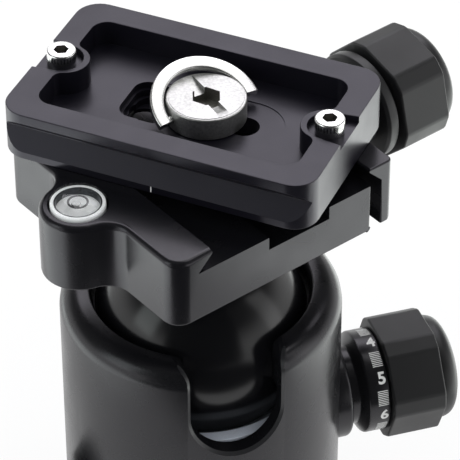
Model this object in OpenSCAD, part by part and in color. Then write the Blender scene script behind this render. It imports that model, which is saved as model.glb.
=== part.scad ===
// Tripod ball head with a screw clamp, a friction dial and a quick-release plate.
// Millimetres, +Z up, origin at the middle of the bottom face.
// +X points along the main locking knob, the drop notch faces -Y.

/* [Ball and housing] */
// Radius of the ball
ball_r = 21; // [18:0.5:24]
// Clearance between the ball and its liners
ball_gap = 0.1; // [0.06:0.02:0.2]
// Thickness of the seat between the ball and the cavity wall
seat_t = 2.4; // [2:0.1:3.2]
// Wall of the housing around the cavity
housing_wall = 3.35; // [2.8:0.05:4.5]
// Height of the rim above the centre of the ball
rim_rise = 10; // [9.4:0.1:11]
// Radius of the soft outer edge of the rim
rim_round = 3.9; // [2:0.1:5]
// Width of the drop notch
notch_w = 17.4; // [16:0.2:20]
// Drop of the notch's round bottom below the centre of the ball
notch_drop = 0.9; // [0.4:0.1:1.6]
// Radius of the corners between the notch and the rim
notch_corner = 2.4; // [1:0.2:4]
// Turn of the notch from -Y
notch_yaw = -1.5; // [-3:0.1:3]

/* [Base and panning] */
// Radius of the base plate
base_r = 27.6; // [26:0.2:32]
// Thickness of the base plate
base_t = 9.4; // [8.6:0.2:12]
// Radius of the tripod thread in the base
tripod_thread_r = 4.76; // [3.1:0.01:5]
// Thickness of the glide ring under the housing
glide_t = 0.48; // [0.3:0.02:0.8]
// Height of the panning bearing inside the housing
bearing_h = 8.3; // [8:0.1:10]
// Thickness of the floor under the locking cup
floor_t = 4.1; // [3:0.1:6]
// Radius of the spindle where it passes the bearing
spindle_r = 14.5; // [14:0.1:15.5]
// Radius of the spindle's flange
spindle_flange_r = 18.6; // [17.5:0.1:19.5]
// Radial clearance of every turning fit
run_gap = 0.05; // [0.03:0.01:0.08]

/* [Main lock and friction dial] */
// Room for the coned spring under the cup
spring_room = 2; // [1.6:0.1:3]
// Width of the bevel round the mouth of the liner
liner_bevel = 1.5; // [0.5:0.1:2]
// Height of the lock axis above the underside of the cup
cup_to_lock = 6; // [5.6:0.1:8]
// Radius of the wedge pins
wedge_r = 4; // [3.4:0.1:4.4]
// Clearance between the wedge pins and the cup
wedge_gap = 0.5; // [0.4:0.05:0.7]
// Radius of the boss that carries the main knob
boss_r = 10.15; // [9:0.05:11]
// Length of the boss beyond the wall of the housing
boss_out = 1.45; // [0.8:0.05:3]
// Radius of the friction dial
dial_r = 10.2; // [9:0.1:10.4]
// Radius of the dial's waist
dial_waist_r = 7.9; // [7.4:0.1:8.6]
// Length of the friction dial
dial_l = 6.65; // [5.5:0.05:9]
// Radius of the lock bush
bush_r = 6.45; // [5.8:0.05:6.8]

/* [Knobs] */
// Distance from the axis to the flats of a grip
grip_flat_r = 11.2; // [10.8:0.05:12]
// Half the width of a grip's flats
grip_flat_half = 4.5; // [3.6:0.1:5]
// Length of a grip
grip_l = 10.8; // [8:0.1:14]
// Bevel at the ends of a grip
grip_edge = 0.4; // [0.2:0.05:1.2]
// Radius of a knob's end cap
cap_r = 10.3; // [9.2:0.05:10.5]
// Length of a knob's end cap beyond its grip
cap_l = 3.8; // [3.2:0.1:7]
// Length of the straight rim of a knob's end cap
cap_rim = 1.2; // [0.6:0.1:2]
// Radius of a knob's hub inside its grip
hub_r = 9; // [7:0.1:9.2]
// Depth of the dark gap ahead of a grip
knob_gap = 0.55; // [0.3:0.05:1]
// Size of the panning knob as a share of the main knob
pan_knob_size = 0.7; // [0.6:0.02:0.72]

/* [Neck and clamp] */
// Clearance between the neck and each side of the drop notch
neck_gap = 0.2; // [0.1:0.05:0.8]
// Height of the neck's top above the top of the ball
neck_l = 7.35; // [7.2:0.05:13]
// Radius of the neck's top flange
neck_flange_r = 11; // [9.5:0.1:11.2]
// Thickness of the neck's top flange at its edge
neck_flange_t = 0.7; // [0.4:0.1:1.2]
// Turn of the clamp from the main knob's axis
clamp_yaw = 21.8; // [-180:0.1:180]
// Length of the clamp along its channel
clamp_l = 50.3; // [44:0.1:60]
// Thickness of the clamp under its channel
clamp_t = 10.5; // [9.5:0.1:14]
// Height of the jaws above the channel's floor
jaw_h = 3.8; // [3.4:0.1:4.6]
// Distance from the clamp's middle to the tip of the fixed jaw
fixed_tip = 17; // [15.5:0.1:18]
// Distance from the clamp's middle to the outer wall of the fixed jaw
fixed_wall = 25.4; // [24:0.1:28]
// Distance from the clamp's middle to the open end under the sliding jaw
open_end = 19.8; // [18:0.1:22]
// Radius of the lower edges under the sliding jaw
lower_round = 1; // [0.4:0.1:1.4]
// Radius of the lobe that carries the level
lobe_r = 7.1; // [7:0.05:8]
// Distance from the fixed jaw's wall to the middle of the level
lobe_out = 2.1; // [1:0.1:5]
// Radius of the level
level_r = 5.15; // [4:0.05:5.4]
// Width of the step round the level
level_step = 0.35; // [0.1:0.05:0.6]
// Depth of the level's pocket
level_sunk = 5; // [4:0.1:7]
// Width of the relief groove in the channel
relief_w = 14; // [10:0.2:16]
// Depth of the relief groove in the channel
relief_d = 2.7; // [1:0.1:3]

/* [Sliding jaw] */
// Gap between the sliding jaw and the clamp as it stands open
jaw_open = 2.4; // [2.1:0.1:3.5]
// Thickness of the sliding jaw's leg
leg_t = 2.6; // [2.4:0.1:5]
// Radius of the sliding jaw's upright corners
jaw_end_round = 1.1; // [0.6:0.1:4]
// Overhang of the dovetail from root to tip
dovetail = 3; // [2.6:0.1:3.2]
// Length of the boss between the jaw and its knob
jaw_boss_l = 9.4; // [6:0.1:14]
// Radius of that boss
jaw_boss_r = 8.2; // [6.5:0.1:8.4]
// Radius of the clamp screw
clamp_screw_r = 3; // [2.4:0.1:3.4]
// Height of the clamp screw above the clamp's underside
clamp_screw_z = 5.6; // [5:0.1:6.4]
// Radius of the guide pins
guide_r = 1.8; // [1.4:0.1:2]
// Distance of each guide pin from the clamp screw
guide_out = 15; // [12:0.5:19]

/* [Quick-release plate] */
// Length of the plate
plate_l = 60.7; // [56:0.1:72]
// Width of the plate
plate_w = 38; // [36:0.1:40]
// Thickness of the plate
plate_t = 9.8; // [9:0.1:12]
// Turn of the plate from the main knob's axis
plate_yaw = -40.4; // [-180:0.1:180]
// Shift of the plate from the axis of the head, along +Y
plate_shift = 3.4; // [0:0.1:5]
// Radius of the plate's corners
plate_corner = 4.8; // [3:0.2:7]
// Width of the rim at the ends
rim_end = 4.95; // [4.6:0.05:7]
// Width of the rim at the sides
rim_side = 5.2; // [4.6:0.1:6.5]
// Depth of the recess inside the rim
recess_d = 4.95; // [4:0.05:5.5]
// Radius of the recess's corners
recess_corner = 3; // [1.6:0.1:6]
// Height of the rim's edge above the dovetail groove
rim_edge = 1.9; // [1.2:0.1:2.4]
// Depth of the dovetail groove
groove_d = 2.7; // [2:0.1:3.2]
// Distance from the plate's middle to each stop screw
stop_out = 26.5; // [26:0.1:28]
// Radius of a stop screw's head
stop_r = 2.75; // [2.4:0.05:3]
// Height of a stop screw above the rim
stop_proud = 1.8; // [1:0.1:3]
// Depth of the pockets round the stop screws
pocket_d = 1.3; // [0.8:0.1:3]
// Half width of the screw slot
slot_r = 2.8; // [2.7:0.05:3.05]
// Reach of the screw slot each side of the plate's middle
slot_reach = 10; // [8:0.2:11]
// Number of ledges round the wide end of the slot
ledges = 3; // [1:1:4]

/* [Camera screw] */
// Place of the camera screw along the slot
screw_x = 2.5; // [-2:0.1:4]
// Radius of the camera screw's head
head_r = 7.4; // [6.5:0.1:7.6]
// Height of the camera screw's head
head_h = 4.5; // [3.6:0.1:5]
// Radius of the camera thread
camera_thread_r = 3.17; // [3.1:0.01:4.76]
// Length of the camera thread below the plate
camera_thread_l = 5; // [4:0.1:5.4]
// Direction of the coin slot in the plate
coin_yaw = -36; // [-90:1:90]
// Width of the coin slot
coin_w = 1.5; // [1.2:0.1:2.4]
// Depth of the coin slot
coin_d = 0.9; // [0.6:0.1:1.4]
// Width of the D-ring's band
ring_band = 2.5; // [1.6:0.1:2.6]
// Thickness of the D-ring
ring_t = 1.5; // [1:0.1:1.6]
// Direction of the D-ring's hinge in the plate
ring_yaw = 56; // [0:1:90]
// Angle at which the D-ring stands
ring_tilt = 24; // [22:1:60]

/* [Hidden] */
$fn = 96;

slip = 0.02;        // a face that glides on another
free_gap = 0.15;    // a face that passes another
rim_pass = 0.1;     // how far the notch's corners end above the rim
over = 1;           // how far a cutter runs past its face

black = [0.10, 0.10, 0.11];
rubber = [0.07, 0.07, 0.075];
steel = [0.78, 0.78, 0.80];
brass = [0.72, 0.58, 0.30];
polymer = [0.82, 0.84, 0.88];

// Radii round the ball
cavity_r = ball_r + seat_t;
housing_r = cavity_r + housing_wall;
lip_h = 3.5;
lip_z = rim_rise - lip_h;
lip_r = sqrt(ball_r * ball_r - lip_z * lip_z) + 0.63;
rim_bevel = min(2.1, housing_r - rim_round - lip_r - 0.1);

// The neck and the bolt that holds the clamp on it
neck_r = notch_w / 2 - neck_gap;
neck_rise = ball_r + neck_l;
bolt_r = 4;
bolt_reach = neck_l - 1;
bolt_head_r = 6.2;
bolt_head_h = 4.6;

// Heights from the ground up
housing_bottom = base_t + glide_t + slip;
circlip_h = 1.2;
circlip_z = housing_bottom + 1;
bearing_z = circlip_z + circlip_h;
bearing_top = bearing_z + bearing_h;
floor_top = bearing_top + floor_t;
cup_bottom = floor_top + spring_room;
lock_z = cup_bottom + cup_to_lock;
ball_z = lock_z + ball_r + 2;
cup_top = ball_z - notch_drop - notch_w / 2 + 0.1;
housing_top = ball_z + rim_rise;
clamp_z = ball_z + neck_rise + run_gap;
channel_z = clamp_z + clamp_t;
jaw_top = channel_z + jaw_h;
plate_bottom = jaw_top + slip;
plate_top = plate_bottom + plate_t;

// Panning bearing
lower_bore_r = cavity_r + 0.8;
bearing_lip = 2.5;
washer_t = 0.25;
flange_z = bearing_z + bearing_lip + washer_t + 2 * slip;
flange_h = 5;
groove_z = flange_z + flange_h / 2;
brake_groove = 2;
seat_depth = 3;
bush_flange_r = 8.2;
bush_flange_t = 2;
bush_rise = 4;
spindle_screw_l = base_t + 2.6;
spindle_screw_head = 3.4;
spindle_screw_r = 2;
spindle_screw_pcr = 11;

// Stations along the main knob's axis
boss_end = housing_r + boss_out;
dial_x = boss_end + free_gap;
dial_end = dial_x + dial_l;
knob_x = dial_end + 0.2;
grip_x = knob_x + knob_gap;
wedge_tip_x = cavity_r - 5.4;
wedge_tip_r = 1.5;
wedge_cone = wedge_r - wedge_tip_r;

knob_bore = 8;      // depth of a knob's hole for its screw

// Stations along the panning knob's axis
pan_boss_r = 6.2;
pan_boss_end = housing_r + 1.25;
pan_screw_r = 3;
pan_tip_r = 0.9;
pan_tip_x = spindle_flange_r - brake_groove + pan_tip_r + 0.2;
pan_collar_l = 2.8;

// The clamp, in its own frame: u across the channel, v along it, z from its underside
lobe_u = min(-fixed_wall - lobe_out, -fixed_tip - dovetail - level_r - level_step - 1.2);
lobe_fillet = 5;
jaw_corner = 3.5;
jaw_land = 0.6;
clamp_h = clamp_t + jaw_h;
relief_u = -4.2;
relief_end = relief_u + relief_w;
leg_u = open_end + jaw_open;
jaw_out = leg_u + leg_t;
tip_u = leg_u - dovetail;
jaw_boss_end = jaw_out + jaw_boss_l;
knob_u = jaw_boss_end + 0.2;
waist_l = 2.5;
collar_l = 2.9;
collar_r = grip_flat_r - 0.5;
clamp_grip_u = knob_u + waist_l + collar_l + knob_gap;
bolt_floor = clamp_t - relief_d - bolt_head_h - 0.2;
guide_z = 5;
guide_tip = relief_u + 10;
jaw_shut = 0.3;
spring_r = 2.9;
spring_coil = 0.7;
spring_coils = 8;
spring_pocket = spring_coil * spring_coils;
clip_r = 5;
clip_t = 0.6;
clip_sunk = clip_t + 0.1 - jaw_shut + 0.2;

// The level's white cup and clear lid
level_proud = 0.2;
level_well = 1.4;
dome_rim = 0.7;
dome_rise = 1.3;

// The plate, in its own frame: x along it, z down from the top of the rim
recess_l = plate_l - 2 * rim_end;
recess_w = plate_w - 2 * rim_side;
end_boss_r = 4.5;
end_boss_x = recess_l / 2 + 0.2;
end_fillet = 1.8;
pocket_r = stop_r + 1.3;
web_t = plate_t - recess_d;
window_w = 4 * slot_r + 0.2;
window_l = 9.8;
ledge = 0.5;
ledge_step = (web_t - 0.9) / ledges;
retainer_r = 4.8;
retainer_t = 0.6;
pad_l = 13;
pad_end = 4.8;
pad_w = plate_w - 9;
pad_t = 1;

// The camera screw, in the plate's frame
screw_neck_r = slot_r - 0.2;
head_bottom = -recess_d + slip;
head_top = head_bottom + head_h;
ring_z = head_bottom + head_h / 2;
ring_in = head_r + 0.55;
ring_out = ring_in + ring_band;
ring_pin_r = 0.7;
ring_pin_in = head_r - 1.8;
ring_end = ring_pin_r + 0.1;

function arc(c, r, a0, a1, n = 10) =
    [for (i = [0:n]) [c[0] + r * cos(a0 + (a1 - a0) * i / n), c[1] + r * sin(a0 + (a1 - a0) * i / n)]];

// A rectangle with rounded corners, centred
function rounded(l, w, r, n = 8) = concat(
    arc([l / 2 - r, w / 2 - r], r, 0, 90, n),
    arc([-l / 2 + r, w / 2 - r], r, 90, 180, n),
    arc([-l / 2 + r, -w / 2 + r], r, 180, 270, n),
    arc([l / 2 - r, -w / 2 + r], r, 270, 360, n));

function flip_y(points) = [for (i = [len(points) - 1:-1:0]) [points[i][0], -points[i][1]]];

module tube(z0, z1, r_out, r_in) {
    translate([0, 0, z0])
        difference() {
            cylinder(h = z1 - z0, r = r_out);
            translate([0, 0, -over]) cylinder(h = z1 - z0 + 2 * over, r = r_in);
        }
}

// A round bar along +X
module bar_x(x0, x1, r) {
    translate([x0, 0, 0]) rotate([0, 90, 0]) cylinder(h = x1 - x0, r = r);
}

// A turned shape about +X from a profile of [radius, x]
module turned_x(profile) {
    rotate([0, 90, 0]) rotate_extrude() polygon(profile);
}

module at_lock() translate([0, 0, lock_z]) children();
module at_pan_lock() translate([0, 0, groove_z]) rotate(180) children();
module at_clamp() translate([0, 0, clamp_z]) rotate(clamp_yaw) children();
module at_clamp_screw() at_clamp() translate([0, 0, clamp_screw_z]) children();
module at_plate() translate([0, plate_shift, plate_top]) rotate(plate_yaw) children();
module at_camera_screw() at_plate() translate([screw_x, 0, 0]) children();
module at_ring() at_camera_screw() translate([0, 0, ring_z]) rotate(ring_yaw) children();

// ---------------------------------------------------------------- base

module base_plate() color(black) difference() {
    rotate_extrude() polygon([
        [0, 0], [base_r - 0.6, 0], [base_r, 0.6], [base_r, base_t - 2], [base_r - 0.7, base_t], [0, base_t]]);
    tube(-over, 0.3, base_r - 5, base_r - 11);
    translate([0, 0, -over]) cylinder(h = base_t + 2 * over, r = bush_r);
    translate([0, 0, base_t - seat_depth]) cylinder(h = seat_depth + over, r = spindle_r + run_gap);
    for (a = [45:90:315]) rotate(a) translate([spindle_screw_pcr, 0, -over]) {
        cylinder(h = spindle_screw_head + 0.4 + over, r = spindle_screw_r + 1.35);
        cylinder(h = base_t + 2 * over, r = spindle_screw_r + 0.15);
    }
}

module tripod_bush() color(steel) difference() {
    union() {
        cylinder(h = base_t - seat_depth + bush_rise, r = bush_r);
        translate([0, 0, base_t - seat_depth + bush_rise]) cylinder(h = bush_flange_t, r = bush_flange_r);
    }
    translate([0, 0, -over]) cylinder(h = base_t + 8, r = tripod_thread_r);
}

module spindle_screws() color(steel)
    for (a = [45:90:315]) rotate(a) translate([spindle_screw_pcr, 0, 0.4]) difference() {
        union() {
            cylinder(h = spindle_screw_head, r = spindle_screw_r + 1.2);
            cylinder(h = spindle_screw_l, r = spindle_screw_r);
        }
        translate([0, 0, -over]) cylinder(h = spindle_screw_head / 2 + over, r = spindle_screw_r - 0.3, $fn = 6);
    }

module pan_spindle() color(steel) difference() {
    rotate_extrude() polygon([
        [0, base_t - seat_depth], [spindle_r, base_t - seat_depth], [spindle_r, flange_z],
        [spindle_flange_r, flange_z], [spindle_flange_r, groove_z - brake_groove],
        [spindle_flange_r - brake_groove, groove_z], [spindle_flange_r, groove_z + brake_groove],
        [spindle_flange_r, flange_z + flange_h], [0, flange_z + flange_h]]);
    translate([0, 0, base_t - seat_depth - over]) cylinder(h = bush_rise + over, r = bush_r + run_gap);
    translate([0, 0, base_t - seat_depth + bush_rise])
        cylinder(h = bush_flange_t + run_gap, r = bush_flange_r + run_gap);
    for (a = [45:90:315]) rotate(a)
        translate([spindle_screw_pcr, 0, base_t - seat_depth - over])
            cylinder(h = seat_depth + 5.5 + over, r = spindle_screw_r);
}

module glide_ring() color(polymer) tube(base_t, base_t + glide_t, cavity_r + 2, cavity_r - 1.2);

// ---------------------------------------------------------------- housing

// Outline of the drop notch: a round bottom just below the height of the ball's centre,
// straight sides and corners that open into the rim
module notch_outline() {
    w = notch_w / 2;
    c = notch_corner;
    top = rim_rise + rim_pass;
    polygon(concat(
        arc([0, -notch_drop], w, 180, 360, 32),
        arc([w + c, top - c], c, 180, 90, 10),
        [[w + c, top + over], [-w - c, top + over]],
        arc([-w - c, top - c], c, 90, 0, 10)));
}

module notch_cut() {
    translate([0, 0, ball_z]) rotate([90, 0, notch_yaw])
        linear_extrude(height = housing_r + over) notch_outline();
}

module housing() color(black) difference() {
    union() {
        rotate_extrude() polygon(concat(
            [[0, housing_bottom], [housing_r - 0.4, housing_bottom], [housing_r, housing_bottom + 0.4]],
            arc([housing_r - rim_round, housing_top - rim_round], rim_round, 0, 90, 12),
            [[lip_r + rim_bevel, housing_top], [lip_r, housing_top - rim_bevel], [0, housing_top - rim_bevel]]));
        at_lock() turned_x(concat(
            [[0, cavity_r - 3], [boss_r, cavity_r - 3]],
            arc([boss_r - 0.9, boss_end - 0.9], 0.9, 0, 90, 5),
            [[0, boss_end]]));
        at_pan_lock() turned_x([
            [0, cavity_r], [pan_boss_r, cavity_r], [pan_boss_r, pan_boss_end - 0.4],
            [pan_boss_r - 0.4, pan_boss_end], [0, pan_boss_end]]);
    }
    translate([0, 0, housing_bottom - over]) cylinder(h = floor_top - housing_bottom + over, r = lower_bore_r);
    translate([0, 0, circlip_z]) cylinder(h = circlip_h, r = lower_bore_r + 1);
    translate([0, 0, floor_top - over]) cylinder(h = ball_z + lip_z - floor_top + over, r = cavity_r);
    translate([0, 0, ball_z]) cylinder(h = rim_rise + over, r = lip_r);
    notch_cut();
    at_lock() bar_x(cavity_r - 4, boss_end + over, bush_r);
    at_lock() bar_x(-cavity_r - 1.8, 0, wedge_r + 1);
    at_pan_lock() bar_x(0, pan_boss_end + over, pan_screw_r + run_gap);
}

module housing_circlip() color(steel) difference() {
    tube(circlip_z, circlip_z + circlip_h - slip, lower_bore_r + 0.9, lower_bore_r - 2.4);
    translate([0, 0, circlip_z - over]) linear_extrude(height = circlip_h + 2 * over)
        polygon([[0, 0], [2 * base_r, -10], [2 * base_r, 10]]);
    for (s = [-1, 1]) rotate(s * 16) translate([lower_bore_r - 1.1, 0, circlip_z - over])
        cylinder(h = circlip_h + 2 * over, r = 0.7);
}

module pan_bearing() color(brass) difference() {
    rotate_extrude() polygon([
        [spindle_r + run_gap, bearing_z], [lower_bore_r - run_gap, bearing_z],
        [lower_bore_r - run_gap, bearing_top], [spindle_flange_r + free_gap, bearing_top],
        [spindle_flange_r + free_gap, bearing_z + bearing_lip], [spindle_r + run_gap, bearing_z + bearing_lip]]);
    at_pan_lock() bar_x(0, base_r, pan_screw_r + run_gap);
}

module pan_thrust_washer() color(polymer)
    tube(bearing_z + bearing_lip, bearing_z + bearing_lip + washer_t, spindle_flange_r - 0.1, spindle_r + 0.2);

module floor_disc() color(black) difference() {
    translate([0, 0, bearing_top]) cylinder(h = floor_t, r = lower_bore_r - run_gap);
    for (s = [-1, 1]) translate([0, s * 9, bearing_top - over]) cylinder(h = 2.5 + over, r = 1.5);
}

module cup_spring() color(steel) rotate_extrude() polygon([
    [cavity_r - 9, floor_top], [cavity_r - 9, floor_top + 0.6],
    [cavity_r - 3.5, cup_bottom - slip], [cavity_r - 3.5, cup_bottom - 0.6]]);

// A cone-nosed pin: nose at wedge_tip_x, shank out to x1
module wedge_pin(r, x1) {
    turned_x([[0, wedge_tip_x], [wedge_tip_r, wedge_tip_x], [r, wedge_tip_x + r - wedge_tip_r], [r, x1], [0, x1]]);
}

module counter_wedge() color(steel) at_lock() rotate(180) {
    wedge_pin(wedge_r, cavity_r);
    bar_x(cavity_r, cavity_r + 1.8, wedge_r + 1);
}

module seat_ring() color(polymer) difference() {
    tube(ball_z + 0.5, ball_z + lip_z - slip, cavity_r - slip, lip_r - 4);
    translate([0, 0, ball_z]) sphere(r = ball_r + ball_gap);
    notch_cut();
}

module lock_bush() color(brass) at_lock() difference() {
    bar_x(cavity_r + 0.2, dial_end - 0.3, bush_r);
    bar_x(0, dial_end + over, wedge_r + run_gap);
}

// ---------------------------------------------------------------- cup and locks

liner_t = 1.6;
liner_l = 5;
liner_flange = 1;
mouth_r = sqrt(pow(ball_r + ball_gap, 2) - pow(ball_z - cup_top, 2)) + liner_bevel;

module pressure_cup() color(black) difference() {
    translate([0, 0, cup_bottom]) cylinder(h = cup_top - liner_flange - cup_bottom, r = cavity_r - 0.2);
    translate([0, 0, ball_z]) sphere(r = ball_r + ball_gap + liner_t);
    at_lock() for (a = [0, 180]) rotate(a) turned_x([
        [0, wedge_tip_x - wedge_gap], [wedge_tip_r, wedge_tip_x - wedge_gap],
        [wedge_r + wedge_gap + 0.1, wedge_tip_x + wedge_cone + 0.1], [wedge_r + wedge_gap + 0.1, cavity_r + over],
        [0, cavity_r + over]]);
}

module cup_liner() color(polymer) difference() {
    union() {
        translate([0, 0, cup_top - liner_flange]) cylinder(h = liner_flange, r = cavity_r - 0.7);
        intersection() {
            translate([0, 0, ball_z]) sphere(r = ball_r + ball_gap + liner_t);
            translate([0, 0, cup_top - liner_flange - liner_l])
                cylinder(h = liner_l + liner_flange / 2, r = cavity_r);
        }
    }
    translate([0, 0, ball_z]) sphere(r = ball_r + ball_gap);
    translate([0, 0, cup_top - 4]) cylinder(h = 4 + slip, r1 = mouth_r - 4, r2 = mouth_r + slip);
}

module lock_plunger() color(steel) at_lock() wedge_pin(wedge_r, housing_r - 0.85);

module lock_screw() color(steel) at_lock() bar_x(housing_r - 0.25, grip_x + knob_bore, wedge_r);

// The grip of a knob: six flats with narrow flats between them, its ends bevelled
module grip(turn) {
    tip_r = norm([grip_flat_r, grip_flat_half]);
    intersection() {
        rotate([90, 0, 90]) linear_extrude(height = grip_l) difference() {
            polygon([for (k = [0:5], s = [-1, 1])
                let (a = 60 * k + turn, t = atan(grip_flat_half / grip_flat_r))
                [cos(a + s * t), sin(a + s * t)] * grip_flat_r / cos(t)]);
            circle(r = hub_r);
        }
        turned_x([
            [0, 0], [tip_r - grip_edge, 0], [tip_r, grip_edge], [tip_r, grip_l - grip_edge],
            [tip_r - grip_edge, grip_l], [0, grip_l]]);
    }
}

// Hub and domed cap of a knob, from the front of its gap; bore for its screw
module knob_core(collar, bore) {
    cap_round = cap_l - cap_rim;
    difference() {
        turned_x(concat(
            collar, [[hub_r, knob_gap], [hub_r, knob_gap + grip_l], [cap_r, knob_gap + grip_l]],
            arc([cap_r - cap_round, knob_gap + grip_l + cap_l - cap_round], cap_round, 0, 90, 10),
            [[0, knob_gap + grip_l + cap_l]]));
        bar_x(-knob_bore - over, knob_gap + knob_bore, bore);
    }
}

module lock_knob_core() color(black) at_lock() translate([knob_x, 0, 0])
    knob_core([[0, 0], [hub_r, 0]], wedge_r);

module lock_knob_grip() color(rubber) at_lock() translate([grip_x, 0, 0]) grip(24);

module drag_dial() color(black) at_lock() difference() {
    turned_x([
        [0, dial_x], [dial_waist_r, dial_x], [dial_waist_r, dial_x + 1.7], [dial_r, dial_x + 3],
        [dial_r, dial_end - 0.3], [dial_r - 0.3, dial_end], [0, dial_end]]);
    bar_x(0, dial_end + over, bush_r + run_gap);
}

module pan_screw() color(steel) at_pan_lock() bar_x(lower_bore_r + 0.4, pan_boss_end + knob_bore, pan_screw_r);

module at_pan_knob() at_pan_lock() translate([pan_boss_end + free_gap, 0, 0]) children();

module pan_knob_core() color(black) at_pan_knob() difference() {
    union() {
        bar_x(0, pan_collar_l, pan_boss_r - 0.6);
        translate([pan_collar_l, 0, 0]) scale(pan_knob_size) knob_core([[0, 0], [hub_r, 0]], 1);
    }
    bar_x(-over, knob_bore - free_gap, pan_screw_r);
}

module pan_knob_grip() color(rubber) at_pan_knob()
    translate([pan_collar_l + pan_knob_size * knob_gap, 0, 0]) scale(pan_knob_size) grip(0);

module pan_shoe() color(brass) at_pan_lock() turned_x([
    [0, pan_tip_x], [pan_tip_r, pan_tip_x], [pan_screw_r, pan_tip_x + pan_screw_r - pan_tip_r],
    [pan_screw_r, lower_bore_r - 0.3], [0, lower_bore_r - 0.3]]);

// ---------------------------------------------------------------- ball and neck

module ball() color(black) translate([0, 0, ball_z]) sphere(r = ball_r);

module neck() color(black) translate([0, 0, ball_z]) difference() {
    flare = neck_flange_r - neck_r;
    rotate_extrude() polygon(concat(
        [[0, ball_r - 4], [neck_r, ball_r - 4]],
        arc([neck_flange_r, neck_rise - neck_flange_t - flare], flare, 180, 90, 8),
        [[neck_flange_r, neck_rise], [0, neck_rise]]));
    sphere(r = ball_r + ball_gap);
    cylinder(h = neck_rise + over, r = bolt_r + run_gap);
}

// ---------------------------------------------------------------- clamp

// Plan of the clamp with its scalloped fixed jaw and level lobe
function clamp_half() =
    let (
        v_end = clamp_l / 2,
        fc = -fixed_wall - lobe_fillet,
        v_f = sqrt(pow(lobe_r + lobe_fillet, 2) - pow(fc - lobe_u, 2)),
        a_f = atan2(v_f, fc - lobe_u))
    concat(
        [[open_end, v_end]],
        arc([-fixed_wall + jaw_corner, v_end - jaw_corner], jaw_corner, 90, 180, 8),
        arc([fc, v_f], lobe_fillet, 0, a_f - 180, 10),
        arc([lobe_u, 0], lobe_r, a_f, 180, 12));

// Cutter that rounds a lower edge along v whose wall stands at u
module lower_edge(u) {
    c = u - lower_round;
    translate([0, clamp_l / 2 + over, 0]) rotate([90, 0, 0]) linear_extrude(height = clamp_l + 2 * over)
        polygon(concat(
            [[c, -over]], arc([c, lower_round], lower_round, 270, 360, 6),
            [[u, lower_round], [u + over, lower_round], [u + over, -over]]));
}

module clamp_body() color(black) at_clamp() difference() {
    linear_extrude(height = clamp_h) polygon(concat(clamp_half(), flip_y(clamp_half())));
    translate([0, clamp_l / 2 + over, 0]) rotate([90, 0, 0]) linear_extrude(height = clamp_l + 2 * over) polygon([
        [-fixed_tip, clamp_h + over], [-fixed_tip, clamp_h - jaw_land],
        [-fixed_tip - dovetail, clamp_h - jaw_land - dovetail], [-fixed_tip - dovetail, clamp_t],
        [relief_u, clamp_t], [relief_u, clamp_t - relief_d], [relief_end, clamp_t - relief_d],
        [relief_end, clamp_t], [open_end + over, clamp_t], [open_end + over, clamp_h + over]]);
    lower_edge(open_end);
    translate([0, 0, -over]) cylinder(h = clamp_h, r = bolt_r);
    translate([0, 0, bolt_floor]) cylinder(h = clamp_h, r = bolt_head_r + 0.2);
    translate([lobe_u, 0, clamp_h - level_sunk]) cylinder(h = level_sunk + over, r = level_r);
    translate([lobe_u, 0, clamp_h - 1.2]) cylinder(h = 1.2 + over, r = level_r + level_step);
    translate([0, 0, clamp_screw_z]) bar_x(relief_end + 1, open_end + over, clamp_screw_r + run_gap);
    translate([0, 0, clamp_screw_z]) bar_x(open_end - clip_sunk, open_end + over, clip_r + 0.3);
    for (s = [-1, 1]) translate([0, s * guide_out, guide_z]) {
        bar_x(guide_tip - 2.5, open_end + over, guide_r + run_gap);
        bar_x(open_end - spring_pocket, open_end + over, spring_r + 0.25);
    }
}

module clamp_bolt() color(steel) at_clamp() difference() {
    union() {
        translate([0, 0, -bolt_reach]) cylinder(h = bolt_reach + bolt_floor + 0.1, r = bolt_r);
        translate([0, 0, bolt_floor]) cylinder(h = bolt_head_h, r = bolt_head_r);
    }
    translate([0, 0, bolt_floor + bolt_head_h - 2.6]) cylinder(h = 2.6 + over, r = 3.4, $fn = 6);
}

// The level: a white cup and a clear domed lid
module at_level() at_clamp() translate([lobe_u, 0, clamp_h]) children();

module level_base() color("white") at_level() difference() {
    translate([0, 0, -level_sunk]) cylinder(h = level_sunk + level_proud, r = level_r - 0.03);
    translate([0, 0, -level_well]) cylinder(h = level_well + over, r = level_r - 0.7);
}

module level_dome() color([0.85, 0.9, 0.92]) at_level() {
    dome_r = level_r - 0.25;
    sphere_r = (dome_r * dome_r + dome_rise * dome_rise) / (2 * dome_rise);
    intersection() {
        translate([0, 0, level_proud + dome_rim + dome_rise - sphere_r]) sphere(r = sphere_r);
        translate([0, 0, level_proud]) cylinder(h = dome_rim + dome_rise, r = dome_r);
    }
    translate([0, 0, -level_well]) cylinder(h = level_well + level_proud + slip, r = level_r - 0.75);
}

// Coil springs at the length that they have when the jaw is shut
module jaw_springs() color(steel) at_clamp() for (s = [-1, 1])
    translate([open_end - spring_pocket, s * guide_out, guide_z]) turned_x(concat(
        [[spring_r - spring_coil, spring_pocket], [spring_r - spring_coil, 0]],
        [for (i = [0:spring_coils - 1], p = [[-0.25, 0], [0, 0.3], [0, 0.7], [-0.25, 1]])
            [spring_r + p[0], (i + p[1]) * spring_coil]]));

// ---------------------------------------------------------------- sliding jaw

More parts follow.
